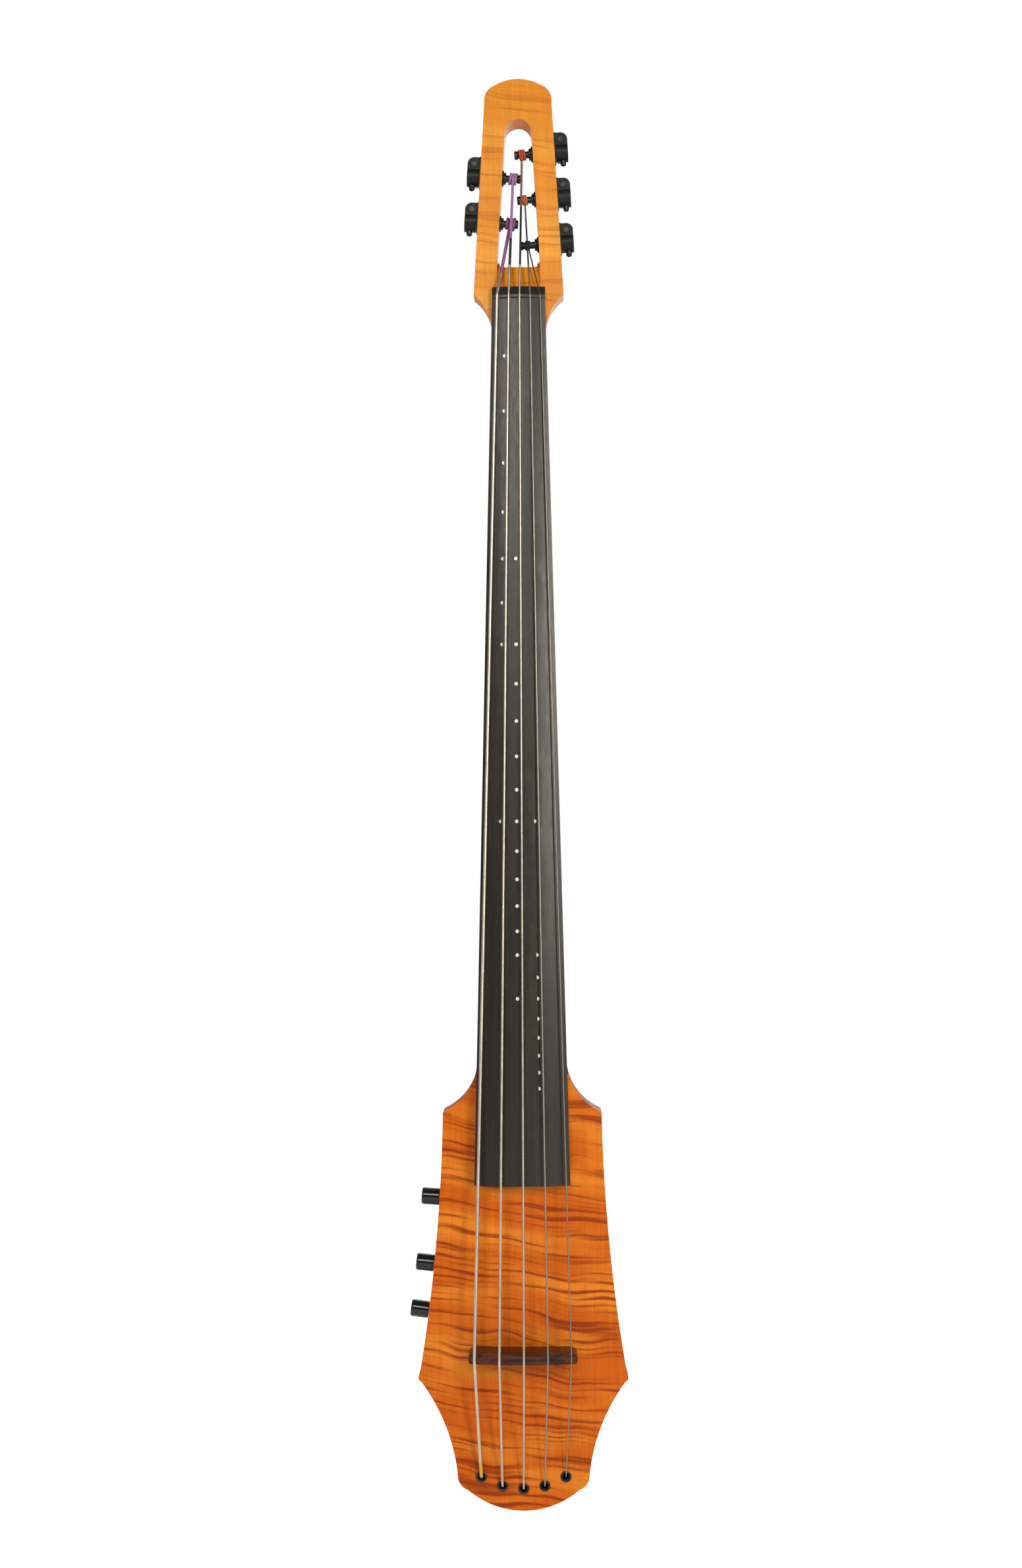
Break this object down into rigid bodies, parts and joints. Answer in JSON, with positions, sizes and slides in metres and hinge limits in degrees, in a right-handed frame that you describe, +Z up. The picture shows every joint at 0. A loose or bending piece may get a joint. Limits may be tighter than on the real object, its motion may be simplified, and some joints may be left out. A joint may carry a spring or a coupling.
{
  "type": "double bass",
  "caption": "Slim solid-body electric upright bass with a slotted head, worm tuners, arched body, crowned bridge and side knobs, held by a socket in its back.",
  "frame": {"origin": "centre of the mouth of the stand socket in the back of the body", "axes": "+Z up the neck to the head, -Y out of the front where the strings are, +X to the right seen from the front (thin string's side)"},
  "size_m": [0.2201, 0.1077, 1.4521],
  "materials": {
    "maple_body": "clear satin over flamed maple",
    "maple_neck": "clear satin over flamed maple",
    "ebony": "oiled satin",
    "bridge_wood": "oiled satin",
    "white_dots": "polished",
    "wound_string": "flat-wound with silk ends",
    "black_casting": "satin black",
    "black_metal": "satin black",
    "knob_plastic": "gloss",
    "brass": "cut",
    "dark_metal": "dark nickel",
    "circuit": "matt",
    "plastic_case": "matt",
    "cover_plastic": "fine textured",
    "steel": "zinc plated"
  },
  "bodies": {
    "instrument": {"body": "maple_body", "neck": "maple_neck", "fingerboard": "ebony", "position_dots": "white_dots", "nut": "ebony", "truss_rod": "steel", "bridge": "bridge_wood", "bridge_studs": "steel", "bridge_pickup": "plastic_case", "string_ferrules": "dark_metal", "string_cups": "steel", "tuner_base_plates": "black_casting", "tuner_bushings": "black_metal", "tuner_screws": "steel", "potentiometers": "steel", "pot_nuts": "steel", "circuit_board": "circuit", "battery": "plastic_case", "output_jack": "dark_metal", "control_cover": "cover_plastic", "cover_screws": "steel", "stand_plate": "black_metal", "stand_plate_screws": "steel", "string_1": "wound_string", "tuner_housing_1": "black_casting", "string_2": "wound_string", "tuner_housing_2": "black_casting", "string_3": "wound_string", "tuner_housing_3": "black_casting", "string_4": "wound_string", "tuner_housing_4": "black_casting", "string_5": "wound_string", "tuner_housing_5": "black_casting"},
    "post_1": {"tuner_post_1": "black_metal", "worm_wheel_1": "brass"},
    "tuner_1": {"worm_shaft_1": "steel", "tuner_button_1": "black_casting"},
    "post_2": {"tuner_post_2": "black_metal", "worm_wheel_2": "brass"},
    "tuner_2": {"worm_shaft_2": "steel", "tuner_button_2": "black_casting"},
    "post_3": {"tuner_post_3": "black_metal", "worm_wheel_3": "brass"},
    "tuner_3": {"worm_shaft_3": "steel", "tuner_button_3": "black_casting"},
    "post_4": {"tuner_post_4": "black_metal", "worm_wheel_4": "brass"},
    "tuner_4": {"worm_shaft_4": "steel", "tuner_button_4": "black_casting"},
    "post_5": {"tuner_post_5": "black_metal", "worm_wheel_5": "brass"},
    "tuner_5": {"worm_shaft_5": "steel", "tuner_button_5": "black_casting"},
    "knob_1": {"knob_1": "knob_plastic", "pot_shaft_1": "steel"},
    "knob_2": {"knob_2": "knob_plastic", "pot_shaft_2": "steel"},
    "knob_3": {"knob_3": "knob_plastic", "pot_shaft_3": "steel"}
  },
  "joints": [
    {"name": "post_spin_1", "type": "hinge", "parent": "instrument", "child": "post_1", "pos_m": [-0.04149, -0.00188, 1.03609], "axis": [0.9984, -0.0015, -0.057], "continuous": true},
    {"name": "button_spin_1", "type": "hinge", "parent": "instrument", "child": "tuner_1", "pos_m": [-0.04773, -0.00157, 1.04786], "axis": [0, 0.9997, -0.0262], "continuous": true},
    {"name": "post_spin_2", "type": "hinge", "parent": "instrument", "child": "post_2", "pos_m": [-0.03878, -0.00064, 1.08348], "axis": [0.9984, -0.0015, -0.057], "continuous": true},
    {"name": "button_spin_2", "type": "hinge", "parent": "instrument", "child": "tuner_2", "pos_m": [-0.04502, -0.00033, 1.09525], "axis": [0, 0.9997, -0.0262], "continuous": true},
    {"name": "post_spin_3", "type": "hinge", "parent": "instrument", "child": "post_3", "pos_m": [0.03735, 0.00002, 1.10857], "axis": [0.9984, 0.0015, 0.057], "continuous": true},
    {"name": "button_spin_3", "type": "hinge", "parent": "instrument", "child": "tuner_3", "pos_m": [0.04359, 0.00033, 1.12034], "axis": [0, 0.9997, -0.0262], "continuous": true},
    {"name": "post_spin_4", "type": "hinge", "parent": "instrument", "child": "post_4", "pos_m": [0.04006, -0.00122, 1.06118], "axis": [0.9984, 0.0015, 0.057], "continuous": true},
    {"name": "button_spin_4", "type": "hinge", "parent": "instrument", "child": "tuner_4", "pos_m": [0.0463, -0.00091, 1.07295], "axis": [0, 0.9997, -0.0262], "continuous": true},
    {"name": "post_spin_5", "type": "hinge", "parent": "instrument", "child": "post_5", "pos_m": [0.04276, -0.00246, 1.0138], "axis": [0.9984, 0.0015, 0.057], "continuous": true},
    {"name": "button_spin_5", "type": "hinge", "parent": "instrument", "child": "tuner_5", "pos_m": [0.049, -0.00215, 1.02557], "axis": [0, 0.9997, -0.0262], "continuous": true},
    {"name": "knob_turn_1", "type": "hinge", "parent": "instrument", "child": "knob_1", "pos_m": [-0.08366, -0.017, 0.038], "axis": [-0.9977, 0, 0.067], "range_deg": [-150, 150]},
    {"name": "knob_turn_2", "type": "hinge", "parent": "instrument", "child": "knob_2", "pos_m": [-0.08944, -0.017, -0.029], "axis": [-0.9945, 0, 0.1047], "range_deg": [-150, 150]},
    {"name": "knob_turn_3", "type": "hinge", "parent": "instrument", "child": "knob_3", "pos_m": [-0.09502, -0.017, -0.076], "axis": [-0.9914, 0, 0.1311], "range_deg": [-150, 150]}
  ],
  "couplings": [
    {"joint": "post_spin_1", "follows": "button_spin_1", "ratio": 0.055556},
    {"joint": "post_spin_2", "follows": "button_spin_2", "ratio": 0.055556},
    {"joint": "post_spin_3", "follows": "button_spin_3", "ratio": 0.055556},
    {"joint": "post_spin_4", "follows": "button_spin_4", "ratio": 0.055556},
    {"joint": "post_spin_5", "follows": "button_spin_5", "ratio": 0.055556}
  ]
}
